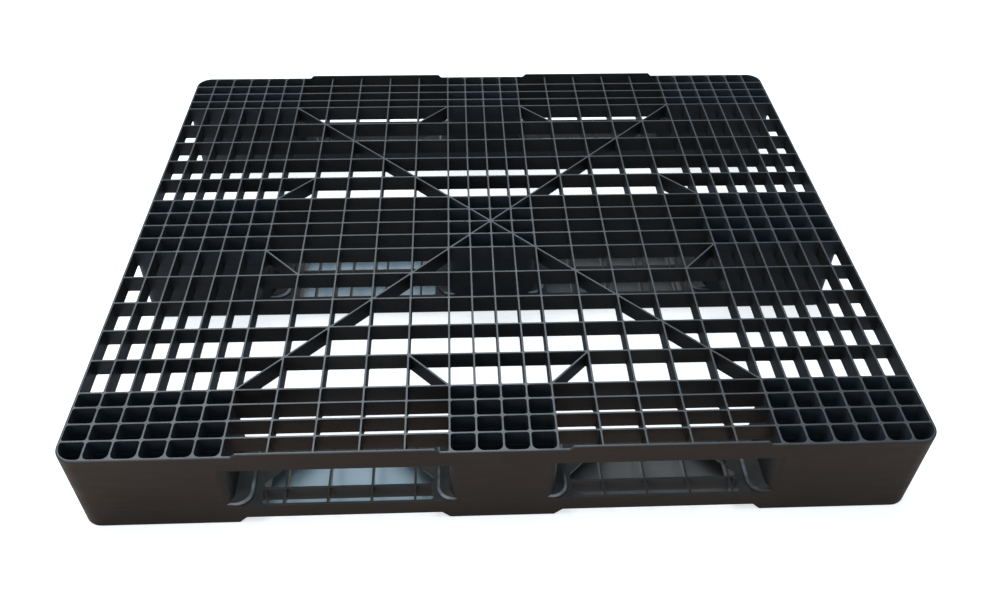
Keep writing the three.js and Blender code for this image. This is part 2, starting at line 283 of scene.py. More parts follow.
def combine(body, tool, operation):
    """Adds tool to body or cuts it away, and removes tool."""
    modifier = body.modifiers.new(operation, "BOOLEAN")
    modifier.solver = "MANIFOLD"
    modifier.operation = operation
    modifier.object = tool
    depsgraph = bpy.context.evaluated_depsgraph_get()
    mesh = bpy.data.meshes.new_from_object(body.evaluated_get(depsgraph))
    body.modifiers.clear()
    old, body.data = body.data, mesh
    bpy.data.meshes.remove(old)
    bpy.data.meshes.remove(tool.data)
    if not mesh.polygons:
        raise RuntimeError(f"{operation} left nothing of {body.name}")


def quarter(radius, steps):
    """(inset, drop) pairs of a rounded edge, from the wall up to the flat top."""
    turns = [math.pi / 2 * k / steps for k in range(steps + 1)]
    return [(radius * (1 - math.cos(turn)), radius * (1 - math.sin(turn))) for turn in turns]


def rounded_rings(loop, bottom, top, low_round, high_round, low_steps, high_steps):
    """Rings of a prism with both rims rounded; one step makes a chamfer."""
    low = [(loop.grown(-inset), bottom + drop) for inset, drop in quarter(low_round, low_steps)]
    high = [(loop.grown(-inset), top - drop) for inset, drop in quarter(high_round, high_steps)]
    return low[::-1] + high


def cutter_rings(loop, bottom, top, low_round=0.0, high_round=RIB_ROUND):
    """Rings of a cutter whose opening flares into rounded rims; 0 leaves an end as it is."""
    rings = []
    if low_round:
        rings += [(loop.grown(low_round), bottom - 1), (loop.grown(low_round), bottom)]
        rings += [(loop.grown(0), bottom + low_round)]
    else:
        rings += [(loop.grown(0), bottom)]
    if high_round:
        rings += [(loop.grown(inset), top - drop)
                  for inset, drop in quarter(high_round, RIB_ROUND_STEPS)]
        rings += [(loop.grown(high_round), top + 1)]
    else:
        rings += [(loop.grown(0), top)]
    return rings


def finished(made, material, name):
    """Smooth shading that keeps flat faces flat, and the material."""
    mesh = made.data
    mesh.shade_smooth()
    mesh.set_sharp_from_angle(angle=SHARP_ANGLE)
    mesh.materials.clear()
    mesh.materials.append(material)
    weighted = made.modifiers.new("Flat faces stay flat", "WEIGHTED_NORMAL")
    weighted.keep_sharp = True
    made.name = name
    mesh.name = name
    return made


# ---- the camera ----
CAMERA_AT = (-0.0575, -1.2448, 1.1288)    # metres
CAMERA_DOWN = math.radians(42.68)         # below the horizon
CAMERA_HEADING = math.radians(2.90)       # to the right of straight ahead
CAMERA_ROLL = math.radians(0.97)
CAMERA_LENS = 32.6
CAMERA_SENSOR = 36.0
CAMERA_SHIFT = (0.0074, -0.0077)          # share of the frame's width

camera_data = bpy.data.cameras.new("camera")
camera_data.lens = CAMERA_LENS
camera_data.sensor_width = CAMERA_SENSOR
camera_data.sensor_fit = "HORIZONTAL"
camera_data.shift_x, camera_data.shift_y = CAMERA_SHIFT
camera = bpy.data.objects.new("camera", camera_data)
bpy.context.scene.collection.objects.link(camera)
camera.matrix_world = (
    Matrix.Translation(CAMERA_AT)
    @ Matrix.Rotation(-CAMERA_HEADING, 4, "Z")
    @ Matrix.Rotation(math.pi / 2 - CAMERA_DOWN, 4, "X")
    @ Matrix.Rotation(CAMERA_ROLL, 4, "Z")
)
bpy.context.scene.camera = camera


# ---- materials ----
NOISE_ROUGHNESS = 0.55


class Shader:
    """A node material, with short calls for the nodes used here."""

    def __init__(self, name):
        self.material = bpy.data.materials.new(name)
        self.material.use_nodes = True
        self.tree = self.material.node_tree
        self.tree.nodes.clear()
        self.output = self.tree.nodes.new("ShaderNodeOutputMaterial")

    def node(self, kind, links=None, values=None, **settings):
        made = self.tree.nodes.new(kind)
        for key, value in settings.items():
            setattr(made, key, value)
        for key, value in (values or {}).items():
            made.inputs[key].default_value = value
        for key, socket in (links or {}).items():
            self.tree.links.new(socket, made.inputs[key])
        return made

    def noise(self, coordinates, scale, detail=4.0, stretch=None):
        if stretch:
            mapped = self.node("ShaderNodeMapping", {"Vector": coordinates}, {"Scale": stretch})
            coordinates = mapped.outputs["Vector"]
        values = {"Scale": scale, "Detail": detail, "Roughness": NOISE_ROUGHNESS}
        return self.node("ShaderNodeTexNoise", {"Vector": coordinates}, values).outputs["Fac"]

    def span(self, value, low, high, to_low=0.0, to_high=1.0):
        """value from low..high brought to to_low..to_high, smoothly and clamped."""
        values = {1: low, 2: high, 3: to_low, 4: to_high}
        made = self.node("ShaderNodeMapRange", {0: value}, values, interpolation_type="SMOOTHSTEP")
        return made.outputs[0]

    def math(self, operation, a, b):
        made = self.node("ShaderNodeMath", operation=operation)
        for key, operand in enumerate((a, b)):
            if isinstance(operand, (int, float)):
                made.inputs[key].default_value = operand
            else:
                self.tree.links.new(operand, made.inputs[key])
        return made.outputs[0]

    def mix(self, factor, a, b):
        """Colour a where factor is 0, and b where it is 1."""
        made = self.node("ShaderNodeMix", data_type="RGBA")
        for key, operand in ((0, factor), (6, a), (7, b)):
            if isinstance(operand, (int, float)):
                made.inputs[key].default_value = operand
            elif isinstance(operand, tuple):
                made.inputs[key].default_value = (*operand, 1.0)
            else:
                self.tree.links.new(operand, made.inputs[key])
        return made.outputs[2]


def scaled(colour, factor):
    return tuple(factor * channel for channel in colour)


PLASTIC_DARK = (0.0140, 0.0130, 0.0125)
PLASTIC_LIGHT = (0.0215, 0.0205, 0.0205)
PLASTIC_SPECKLE = scaled(PLASTIC_LIGHT, 1.7)
PLASTIC_HAZE = scaled(PLASTIC_LIGHT, 1.4)
# painted highlight on the flanges' rounded edges
EDGE_HIGHLIGHT = (0.25, 0.265, 0.28)
# painted shade on the low ledges
LEDGE_SHADE = (0.009, 0.009, 0.0085)
DUST = (0.055, 0.052, 0.048)
FILL_LIGHT_COVER = 0.7              # how much the painted fill light covers of the colour below it
EDGE_BAND = (0.006, 0.001)    # from an outer face or a top: the painted fill light ends, and the abrasion with its painted sheen begins here
LEDGE_SHADE_HEIGHTS = (0.06, 0.08)  # the painted shade on the low ledges thins out between these heights
SCUFF_HEIGHTS = (0.0, 0.12)   # and scuffs between these

# Heights between which the painted highlights on the flanges' edges begin, and between which they
# end.
HIGHLIGHT_STARTS = ((FLANGE_TOP - 2.6) * MM, (FLANGE_TOP - 1.4) * MM)
HIGHLIGHT_ENDS = ((FLANGE_TOP + 0.2) * MM, (FLANGE_TOP + 0.8) * MM)

ZINC_DARK = (0.52, 0.53, 0.55)
ZINC_LIGHT = (0.66, 0.67, 0.69)
ZINC_PATINA = (0.30, 0.28, 0.26)


def in_legs(shader, parts):
    """1 inside the legs' plan, 0 in the bays between them."""
    inside = None
    for axis, (outer, middle) in ((0, LEG_EDGES_X), (1, LEG_EDGES_Y)):
        from_middle = shader.math("ABSOLUTE", parts.outputs[axis], 0.0)
        end_legs = shader.span(from_middle, (outer - 1) * MM, (outer + 1) * MM)
        middle_leg = shader.span(from_middle, (middle - 1) * MM, (middle + 1) * MM, 1.0, 0.0)
        along = shader.math("MAXIMUM", end_legs, middle_leg)
        inside = along if inside is None else shader.math("MULTIPLY", inside, along)
    return inside


def painted_fill_light(shader, parts, upward, heights, legs_only):
    """Painted fill light: the upright faces inside the pallet made lighter and bluer, as though
    lit; begins and is complete at heights.
    """
    fill_light = shader.span(parts.outputs[2], *heights, 0.0, FILL_LIGHT_COVER)
    fill_light = shader.math("MULTIPLY", fill_light, shader.span(upward, 0.3, 0.8, 1.0, 0.0))
    if legs_only:
        fill_light = shader.math("MULTIPLY", fill_light, in_legs(shader, parts))
    far, near = EDGE_BAND
    for axis, half in ((0, HALF_LENGTH * MM), (1, HALF_WIDTH * MM)):
        from_middle = shader.math("ABSOLUTE", parts.outputs[axis], 0.0)
        inside = shader.span(from_middle, half - far, half - near, 1.0, 0.0)
        fill_light = shader.math("MULTIPLY", fill_light, inside)
    return fill_light


def edge_wear_and_sheen(shader, position, parts, upward, top, level_wear_and_sheen):
    """Lighter tops of the ribs and rims, in patches: partly real abrasion, partly a painted sheen
    where light would catch them.
    """
    far, near = EDGE_BAND
    rounded = shader.span(upward, 0.2, 0.8)
    level = shader.span(upward, 0.9, 0.995, 1.0, level_wear_and_sheen)
    facing_up = shader.math("MULTIPLY", rounded, level)
    height = shader.span(parts.outputs[2], top - far, top - near)
    wear_and_sheen_band = shader.math("MULTIPLY", facing_up, height)
    patchy = shader.span(shader.noise(position, 24.0, detail=6.0), 0.25, 0.75, 0.55, 1.0)
    return shader.math("MULTIPLY", wear_and_sheen_band, patchy)


def flange_highlights(shader, position, parts, upward):
    """Painted highlights on the rounded edges of the flanges, in patches, where light would glint
    on them.
    """
    from_low = shader.span(parts.outputs[2], *HIGHLIGHT_STARTS)
    up_to_high = shader.span(parts.outputs[2], *HIGHLIGHT_ENDS, 1.0, 0.0)
    highlighted = shader.math("MULTIPLY", from_low, up_to_high)
    highlighted = shader.math("MULTIPLY", highlighted, shader.span(upward, 0.1, 0.5))
    highlight_patches = shader.span(shader.noise(position, 14.0, detail=3.0), 0.45, 0.62, 0.1, 1.0)
    return shader.math("MULTIPLY", highlighted, highlight_patches)


def moulded_plastic(name, wear_sheen_colour, top, level_wear_and_sheen, fill_light_heights, fill_light_colour, legs_only):
    """Recycled black-brown polyethylene: mottled, scuffed, dusty, and abraded lighter at its top,
    with painted
    light laid on it: a painted sheen on those tops, painted fill light on its inner walls, painted
    shade on its low ledges and painted highlights on its flanges' edges. level_wear_and_sheen is
    how much level faces are abraded and get the sheen there, against 1 for the rounded edges beside
    them."""
    shader = Shader(name)
    place = shader.node("ShaderNodeTexCoord")
    position = place.outputs["Object"]
    parts = shader.node("ShaderNodeSeparateXYZ", {0: position})
    upward = shader.node("ShaderNodeSeparateXYZ", {0: place.outputs["Normal"]}).outputs[2]

    clouds = shader.noise(position, 7.0, detail=5.0)
    grain = shader.noise(position, 420.0, detail=3.0)
    swirl = shader.noise(position, 16.0, detail=6.0, stretch=(1.0, 1.0, 5.0))
    scratches = shader.noise(position, 34.0, detail=2.0, stretch=(0.5, 1.0, 22.0))
    cross_scratches = shader.noise(position, 30.0, detail=2.0, stretch=(16.0, 0.6, 0.8))

    colour = shader.mix(shader.span(clouds, 0.3, 0.7), PLASTIC_DARK, PLASTIC_LIGHT)
    colour = shader.mix(shader.span(grain, 0.62, 0.72, 0.0, 0.5), colour, PLASTIC_SPECKLE)
    colour = shader.mix(shader.span(swirl, 0.55, 0.75, 0.0, 0.4), colour, PLASTIC_HAZE)

    # Painted fill light: the upright faces inside the pallet lighter and bluer, as though lit.
    fill_light = painted_fill_light(shader, parts, upward, fill_light_heights, legs_only)
    colour = shader.mix(fill_light, colour, fill_light_colour)
    # Abrasion and painted sheen: lighter, bluish tops of the ribs and rims, and of the runners'
    # rounded edges.
    wear_and_sheen = edge_wear_and_sheen(shader, position, parts, upward, top, level_wear_and_sheen)
    colour = shader.mix(wear_and_sheen, colour, wear_sheen_colour)

    # Painted shade on the level faces down in the pallet, below the deck.
    depth = shader.span(parts.outputs[2], *LEDGE_SHADE_HEIGHTS, 0.8, 0.0)
    ledge_shade = shader.math("MULTIPLY", depth, shader.span(upward, 0.5, 0.9))
    colour = shader.mix(ledge_shade, colour, LEDGE_SHADE)

    # Painted highlights along the flanges' rounded edges, in patches.
    highlighted = flange_highlights(shader, position, parts, upward)
    colour = shader.mix(highlighted, colour, EDGE_HIGHLIGHT)

    # Scuffs on the walls, mostly low down.
    low = shader.span(parts.outputs[2], *SCUFF_HEIGHTS, 1.0, 0.25)
    lines = shader.math("MAXIMUM", shader.span(scratches, 0.66, 0.72),
                        shader.span(cross_scratches, 0.68, 0.74))
    scuffs = shader.math("MULTIPLY", lines, low)
    scuffs = shader.math("MULTIPLY", scuffs, 0.35)
    colour = shader.mix(scuffs, colour, scaled(wear_sheen_colour, 0.8))

    # Settled dust on level faces.
    dust = shader.span(shader.noise(position, 60.0, detail=5.0), 0.35, 0.75, 0.0, 0.35)
    dust = shader.math("MULTIPLY", dust, shader.span(upward, 0.7, 0.98))
    colour = shader.mix(dust, colour, DUST)

    roughness = shader.span(swirl, 0.3, 0.7, 0.36, 0.5)
    rougher = ((scuffs, 0.3), (dust, 0.25), (ledge_shade, 0.25), (wear_and_sheen, -0.1), (highlighted, -0.15))
    for layer, amount in rougher:
        roughness = shader.math("ADD", roughness, shader.math("MULTIPLY", layer, amount))

    bump = shader.node("ShaderNodeBump", {"Height": grain}, {"Strength": 0.12, "Distance": 0.0003})
    ripple = shader.node("ShaderNodeBump", {"Height": clouds, "Normal": bump.outputs[0]},
                         {"Strength": 0.25, "Distance": 0.004})
    scored = shader.node("ShaderNodeBump", {"Height": lines, "Normal": ripple.outputs[0]},
                         {"Strength": 0.15, "Distance": 0.0004}, invert=True)
    surface = shader.node(
        "ShaderNodeBsdfPrincipled",
        {"Base Color": colour, "Roughness": roughness, "Normal": scored.outputs[0]},
        {"IOR": 1.5, "Specular IOR Level": 0.5},
    )
    shader.tree.links.new(surface.outputs[0], shader.output.inputs["Surface"])
    return shader.material


def zinc_steel(name):
    """Zinc-plated steel: mottled spangle, fine turning marks, darker in patches."""
    shader = Shader(name)
    position = shader.node("ShaderNodeTexCoord").outputs["Object"]
    spangle = shader.node("ShaderNodeTexVoronoi", {"Vector": position}, {"Scale": 900.0})
    patina = shader.noise(position, 350.0, detail=5.0)
    turning = shader.noise(position, 500.0, detail=2.0, stretch=(1.0, 1.0, 14.0))
    grey = shader.mix(shader.span(spangle.outputs["Distance"], 0.1, 0.8), ZINC_DARK, ZINC_LIGHT)
    grey = shader.mix(shader.span(patina, 0.5, 0.75, 0.0, 0.7), grey, ZINC_PATINA)
    roughness = shader.span(patina, 0.35, 0.75, 0.24, 0.5)
    bump = shader.node("ShaderNodeBump", {"Height": turning}, {"Strength": 0.2, "Distance": 0.0001})
    surface = shader.node(
        "ShaderNodeBsdfPrincipled",
        {"Base Color": grey, "Roughness": roughness, "Normal": bump.outputs[0]},
        {"Metallic": 1.0},
    )
    shader.tree.links.new(surface.outputs[0], shader.output.inputs["Surface"])
    return shader.material


deck_plastic = moulded_plastic(
    "deck_plastic", wear_sheen_colour=(0.051, 0.053, 0.0555), top=DECK_TOP * MM, level_wear_and_sheen=1.0,
    fill_light_heights=(0.045, 0.09), fill_light_colour=(0.036, 0.045, 0.056), legs_only=True)
runner_plastic = moulded_plastic(
    "runner_plastic", wear_sheen_colour=(0.045, 0.046, 0.047), top=RUNNER_TOP * MM, level_wear_and_sheen=0.1,
    fill_light_heights=(-0.002, 0.002), fill_light_colour=(0.085, 0.088, 0.090), legs_only=False)
screw_steel = zinc_steel("screw_steel")


# ---- the deck ----
def corner_radius(x, y):
    """Plan radius of a leg's corner: larger at the corners of the pallet."""
    return CORNER_R if abs(x) == HALF_LENGTH and abs(y) == HALF_WIDTH else LEG_R


def leg_plan(column, row):
    """A leg's ribs, plan box, outline and the places of its two screws."""
    (i0, i1), (j0, j1) = LEG_COLUMNS[column], LEG_ROWS[row]
    x0 = -HALF_LENGTH if column == 0 else RIB_X[i0] - RIB / 2
    x1 = HALF_LENGTH if column == 2 else RIB_X[i1] + RIB / 2
    y0 = -HALF_WIDTH if row == 0 else RIB_Y[j0] - RIB / 2
    y1 = HALF_WIDTH if row == 2 else RIB_Y[j1] + RIB / 2
    corners = rectangle(x0, x1, y0, y1)
    outline = Loop(corners, [corner_radius(x, y) for x, y in corners])
    middle = RIB_Y[(j0 + j1) // 2]
    screws = [(x0 + POST_X / 2, middle - POST_Y / 2), (x1 - POST_X / 2, middle + POST_Y / 2)]
    return {"i": (i0, i1), "j": (j0, j1), "x": (x0, x1), "y": (y0, y1), "screws": screws,
            "outline": outline}


LEGS = {(column, row): leg_plan(column, row) for row in range(3) for column in range(3)}
PALLET = Loop(rectangle(-HALF_LENGTH, HALF_LENGTH, -HALF_WIDTH, HALF_WIDTH), CORNER_R)


def leg_over(i, j):
    """The leg below cell (i, j), or None."""
    for leg in LEGS.values():
        if leg["i"][0] <= i < leg["i"][1] and leg["j"][0] <= j < leg["j"][1]:
            return leg
    return None


def half_rib(index, ribs):
    """Half the thickness of a rib: the first and last ones are the pallet's walls."""
    return (WALL if index in (0, len(ribs) - 1) else RIB) / 2


def diagonal_ribs():
    """The ends of each diagonal rib, as pairs of rib crossings."""
    last = len(RIB_X) - 1
    for start, end in DIAGONALS:
        yield start, end
        yield (last - start[0], start[1]), (last - end[0], end[1])


def cell_outlines(i, j):
    """The openings between ribs i, i + 1 and j, j + 1: more than one if a diagonal crosses."""
    x0, x1 = RIB_X[i] + half_rib(i, RIB_X), RIB_X[i + 1] - half_rib(i + 1, RIB_X)
    y0, y1 = RIB_Y[j] + half_rib(j, RIB_Y), RIB_Y[j + 1] - half_rib(j + 1, RIB_Y)
    outlines = [rectangle(x0, x1, y0, y1)]
    for (ia, ja), (ib, jb) in diagonal_ribs():
        if not (min(ia, ib) <= i < max(ia, ib) and min(ja, jb) <= j < max(ja, jb)):
            continue
        start = Vector((RIB_X[ia], RIB_Y[ja]))
        along = (Vector((RIB_X[ib], RIB_Y[jb])) - start).normalized()
        across = Vector((along.y, -along.x))
        offset = across.dot(start)
        split = []
        for outline in outlines:
            split.append(clip(outline, across, offset - RIB / 2))
            split.append(clip(outline, -across, -offset - RIB / 2))
        outlines = [tidied(part) for part in split if len(part) > 2 and area(part) > MIN_CELL_AREA]
    return outlines


def cell_radii(outline, over_leg):
    """Corner radii of a cell: larger over a leg, and largest beside the front and rear skirt."""
    radii = []
    count = len(outline)
    for k, (x, y) in enumerate(outline):
        before = Vector((x, y)) - Vector(outline[k - 1])
        after = Vector(outline[(k + 1) % count]) - Vector((x, y))
        if before.angle(after) > SHARP_TURN:
            radii.append(ACUTE_CELL_R)
        elif not over_leg:
            radii.append(BAY_CELL_R)
        else:
            beside_skirt = abs(abs(y) - HALF_WIDTH + WALL) < 0.01
            radii.append(SKIRT_CELL_R if beside_skirt else LEG_CELL_R)
    return radii


def deck():
    """The grid deck in one piece: skirt, legs and flanges, less the cells, plus the rims."""
    body = Solid()
    body.stack(rounded_rings(PALLET, RIB_BOTTOM, DECK_TOP, SKIRT_FOOT_ROUND, SKIRT_ROUND,
                             2, SKIRT_ROUND_STEPS))
    made = body.object("grid_deck")
    combine(made, leg_blocks().object("legs"), "UNION")
    for leg in LEGS.values():
        combine(made, flange(leg).object("flange"), "UNION")

    cells, pockets = cell_cutters()
    combine(made, cells.object("cells"), "DIFFERENCE")
    combine(made, pockets.object("pockets"), "DIFFERENCE")
    combine(made, raised_rims().object("rims"), "UNION")
    return finished(made, deck_plastic, "grid_deck")


def seam_rings(loop):
    """The chamfered bottom of a leg or flange, just above the runner."""
    bottom = RUNNER_TOP + LEG_GAP
    return [(loop.grown(-SEAM_ROUND), bottom), (loop.grown(0), bottom + SEAM_ROUND)]


def leg_blocks():
    """The legs as solid blocks, which reach halfway up the deck's ribs."""
    legs = Solid()
    for leg in LEGS.values():
        outline = leg["outline"]
        legs.stack(seam_rings(outline) + [(outline.grown(0), RIB_BOTTOM + RIB_DEPTH / 2)])
    return legs


def cell_cutters():
    """Cutters for the cells of the deck, and for the pockets below those over a leg."""
    cells, pockets = Solid(), Solid()
    inner = [tuple(point) for point in PALLET.grown(-WALL)]
    for i in range(len(RIB_X) - 1):
        for j in range(len(RIB_Y) - 1):
            leg = leg_over(i, j)
            for outline in cell_outlines(i, j):
                outline = tidied(clip_to(outline, inner))
                loop = Loop(outline, cell_radii(outline, leg))
                if leg is None:
                    cells.stack(cutter_rings(loop, RIB_BOTTOM, DECK_TOP, FOOT_CHAMFER))
                else:
                    cells.stack(cutter_rings(loop, RIB_BOTTOM + WEB, DECK_TOP))
                    pockets.stack(pocket_rings(leg, outline))
    return cells, pockets


def pocket_rings(leg, outline):
    """Rings of the cutter for a leg's pocket, below the cell with this outline."""
    wall = [tuple(point) for point in leg["outline"].grown(-WALL)]
    inset = [tuple(point) for point in Loop(outline, POCKET_TRIM_R).grown(-POCKET_INSET)]
    pocket = Loop(tidied(clip_to(inset, wall)), POCKET_R)
    return [(pocket.grown(-POCKET_DRAFT), pocket_bottom(leg, outline)),
            (pocket.grown(0), RIB_BOTTOM + WEB + POCKET_OVERLAP)]


def flange(leg):
    """The flared foot of a leg, which stands on the runner and reaches into the fork openings."""
    (x0, x1), (y0, y1) = leg["x"], leg["y"]
    edge = FLANGE_EDGES[1] if x0 + x1 == 0 else FLANGE_EDGES[0]
    reach = [x if abs(x) == HALF_LENGTH else math.copysign(edge, x) for x in (x0, x1)]
    corners = rectangle(*reach, y0, y1)
    radii = [FLANGE_R if abs(x) == edge else corner_radius(x, y) for x, y in corners]
    loop = Loop(corners, radii)
    rings = seam_rings(loop)
    rings += [(loop.grown(-inset), FLANGE_TOP - drop)
              for inset, drop in quarter(FLANGE_ROUND, FLANGE_ROUND_STEPS)]
    root = Loop(rectangle(x0 + FLANGE_ROOT, x1 - FLANGE_ROOT,
                          y0 + FLANGE_ROOT, y1 - FLANGE_ROOT), radii)
    rings += [(root.grown(0), FLANGE_TOP + FLANGE_SLOPE)]
    foot = Solid()
    foot.stack(rings)
    return foot


def pocket_bottom(leg, outline):
    """Height of a pocket's bottom: below the leg, or on top of a screw post."""
    x = sum(point[0] for point in outline) / len(outline)
    y = sum(point[1] for point in outline) / len(outline)
    for px, py in leg["screws"]:
        if abs(x - px) < POST_X / 2 and abs(y - py) < POST_Y / 2:
            return RUNNER_TOP + POST_HEIGHT
    return RUNNER_TOP - 1


def raised_rims():
    """The rims over the fork openings: sections swept along X, with eased ramps."""
    rims = Solid()
    rise = RIM_TOP - DECK_TOP
    for side in (-1, 1):
        for bay in (0, 1):
            x0 = RIB_X[LEG_COLUMNS[bay][1]] + RIM_INSET
            x1 = RIB_X[LEG_COLUMNS[bay + 1][0]] - RIM_INSET
            stations = []
            for k in range(RIM_RAMP_STEPS + 1):
                t = k / RIM_RAMP_STEPS
                stations.append((x0 + t * RIM_RAMP, rise * t * t * (3 - 2 * t)))
            stations += [(x0 + x1 - x, height) for x, height in reversed(stations)]
            sections = [(rim_section(DECK_TOP + height), x) for x, height in stations]
            rims.stack(sections, lambda u, v, w, side=side: (w, side * u, v))
    return rims


def rim_section(top):
    """Section of the skirt's top edge in the (outward, up) plane."""
    outer, inner = HALF_WIDTH, HALF_WIDTH - WALL
    outer_edge = quarter(SKIRT_ROUND, SKIRT_ROUND_STEPS)
    inner_edge = quarter(RIB_ROUND, RIB_ROUND_STEPS)
    points = [(inner, DECK_TOP - RIM_ROOT), (outer, DECK_TOP - RIM_ROOT)]
    points += [(outer - inset, top - drop) for inset, drop in outer_edge]
    points += [(inner + inset, top - drop) for inset, drop in reversed(inner_edge)]
    return points


# ---- the runners ----
def runner(row):
    """A runner in one piece: an open frame between three pocketed feet."""
    legs = [LEGS[column, row] for column in range(3)]
    y0, y1 = legs[0]["y"]
    front_r = CORNER_R if row == 0 else LEG_R
    rear_r = CORNER_R if row == 2 else LEG_R
    outline = Loop(rectangle(-HALF_LENGTH, HALF_LENGTH, y0, y1), [front_r, front_r, rear_r, rear_r])
    body = Solid()
    body.stack(rounded_rings(outline, 0.0, RUNNER_TOP, SOLE_ROUND, SEAM_ROUND, SOLE_ROUND_STEPS, 1))
    made = body.object("runner")

    outer_end, middle_end = FOOT_EDGES
    bays = [(-outer_end, -middle_end), (middle_end, outer_end)]
    combine(made, runner_openings(row, bays, y0, y1).object("openings"), "DIFFERENCE")
    combine(made, foot_pockets(legs, outline, y0, y1).object("pockets"), "DIFFERENCE")
    combine(made, cross_members(row, bays, y0, y1).object("members"), "UNION")
    if row != 1:
        combine(made, raised_undersides(row, legs, y0, y1).object("bevels"), "DIFFERENCE")
    return finished(made, runner_plastic, f"runner_{ROW_NAMES[row]}")


def runner_openings(row, bays, y0, y1):
    """Cutters for the openings between the feet, on both sides of the lengthwise rib."""
    lengthwise = (y0 + OUTER_RIB_INSET, 0.0, y1 - OUTER_RIB_INSET)[row]
    openings = Solid()
    for x0, x1 in bays:
        for low, high in ((y0 + WALL, lengthwise - RIB / 2), (lengthwise + RIB / 2, y1 - WALL)):
            loop = Loop(rectangle(x0, x1, low, high), OPENING_R)
            openings.stack(cutter_rings(loop, 0.0, RUNNER_TOP, OPENING_ROUND))
    return openings


def foot_pockets(legs, outline, y0, y1):
    """Cutters for the pockets under the feet. The ribs between them lie below every second rib
    of the deck."""
    pockets = Solid()
    wall = [tuple(point) for point in outline.grown(-WALL)]
    outer_end, middle_end = FOOT_EDGES
    feet = [(-HALF_LENGTH, -outer_end), (-middle_end, middle_end), (outer_end, HALF_LENGTH)]
    for leg, (x0, x1) in zip(legs, feet):
        i0, i1 = leg["i"]
        inner_ribs = [RIB_X[i] for i in range(i0 + 2, i1 - 1, 2)]
        ribs = [x0 + RIB / 2, *inner_ribs, x1 - RIB / 2]
        middle = RIB_Y[sum(leg["j"]) // 2]
        for left, right in zip(ribs, ribs[1:]):
            for low, high in ((y0 + WALL, middle - RIB / 2), (middle + RIB / 2, y1 - WALL)):
                between_ribs = rectangle(left + RIB / 2, right - RIB / 2, low, high)
                loop = Loop(tidied(clip_to(between_ribs, wall)), OPENING_R)
                pockets.stack(cutter_rings(loop, 0.0, RUNNER_TOP - FOOT_PLATE, OPENING_ROUND, 0.0))
    return pockets


def cross_members(row, bays, y0, y1):
    """The ribs across a runner's openings, and the gussets of the front and rear runners."""
    members = Solid()
    turn = -1 if row == 2 else 1       # the rear runner is the front one turned round
    for start in CROSS_RIB_STARTS:
        for k in range(CROSS_RIBS):
            x = turn * (start + k * CROSS_RIB_PITCH)
            plan = rectangle(x - RIB / 2, x + RIB / 2, y0 + WALL / 2, y1 - WALL / 2)
            members.stack(member_rings(Loop(plan, CROSS_RIB_R), CROSS_RIB_DEPTH))
    if row == 1:
        return members
    wall_y, inward = (y1 - WALL / 2, -1) if row == 0 else (y0 + WALL / 2, 1)
    for x0, x1 in bays:
        for x, direction in ((x0, 1), (x1, -1)):
            root_x = x - direction * RIB / 2
            plan = [(root_x, wall_y), (x + direction * GUSSET, wall_y),
                    (root_x, wall_y + inward * GUSSET)]
            if area(plan) < 0:
                plan.reverse()
            members.stack(member_rings(Loop(plan, GUSSET_R), FOOT_PLATE))
    return members


def member_rings(loop, depth):
    """Rings of a rib or gusset that hangs this far below the runner's top."""
    return rounded_rings(loop, RUNNER_TOP - depth, RUNNER_TOP, MEMBER_FOOT_ROUND, RIB_ROUND,
                         1, RIB_ROUND_STEPS)


def raised_undersides(row, legs, y0, y1):
    """Cutters that lift the outer edge between two feet, with rounded 45 degree ends."""
    cutters = Solid()
    outer, inward = (y0, 1) if row == 0 else (y1, -1)
    for left, right in zip(legs, legs[1:]):
        x0, x1 = left["x"][1], right["x"][0]
        profile = [(x0 - BEVEL_BELOW, -BEVEL_BELOW), (x1 + BEVEL_BELOW, -BEVEL_BELOW),
                   (x1 - BEVEL_RISE, BEVEL_RISE), (x0 + BEVEL_RISE, BEVEL_RISE)]
        loop = Loop(profile, BEVEL_R)
        lip = [(BEVEL_LIP, -BEVEL_LIP), (BEVEL_LIP, 0.0), (BEVEL_LIP_MIDDLE, BEVEL_LIP_MIDDLE),
               (0.0, BEVEL_LIP), (0.0, BEVEL_DEPTH)]
        rings = [(loop.grown(growth), outer + inward * depth) for growth, depth in lip]
        cutters.stack(rings, lambda u, v, w: (u, w, v))
    return cutters


# ---- the screws ----
SCREW_SIDES = 24          # of the head; a multiple of 6 keeps the hexagon's corners
SCREW_R = 3.5
SCREW_LENGTH = 30.0
SCREW_SUNK = 0.2          # how far the shank starts inside the head
SCREW_POINT = 4.0         # length of the point
SCREW_TIP = 0.12          # radius left at the end of the point, as a share of the shank's
THREAD_PITCH = 2.4
THREAD_DEPTH = 0.6
THREAD_FLANK = 0.25       # width of each flank, as a share of the pitch
THREAD_SIDES = 20
THREAD_RINGS_PER_PITCH = 6
SCREW_FLANGE_R = 7.8
SCREW_FLANGE_THICKNESS = 1.4
HEX_R = 6.4
HEX_CHAMFER = 0.6         # height of the chamfer round the end of the hexagon
HEAD_HEIGHT = 4.0
HEAD_DISH = 0.5           # depth of the dish in the end of the head
SCREW_GAP = 0.3           # between the head's flange and the foot


def circle(radius, sides=SCREW_SIDES):
    turns = [2 * math.pi * k / sides for k in range(sides)]
    return [(radius * math.cos(turn), radius * math.sin(turn)) for turn in turns]


def hexagon(radius):
    """A hexagon drawn with as many points as a circle, so that both can be rings of one shell."""
    points = []
    for k in range(SCREW_SIDES):
        angle = 2 * math.pi * k / SCREW_SIDES
        from_flat = (angle % (math.pi / 3)) - math.pi / 6
        reach = radius * math.cos(math.pi / 6) / math.cos(from_flat)
        points.append((reach * math.cos(angle), reach * math.sin(angle)))
    return points


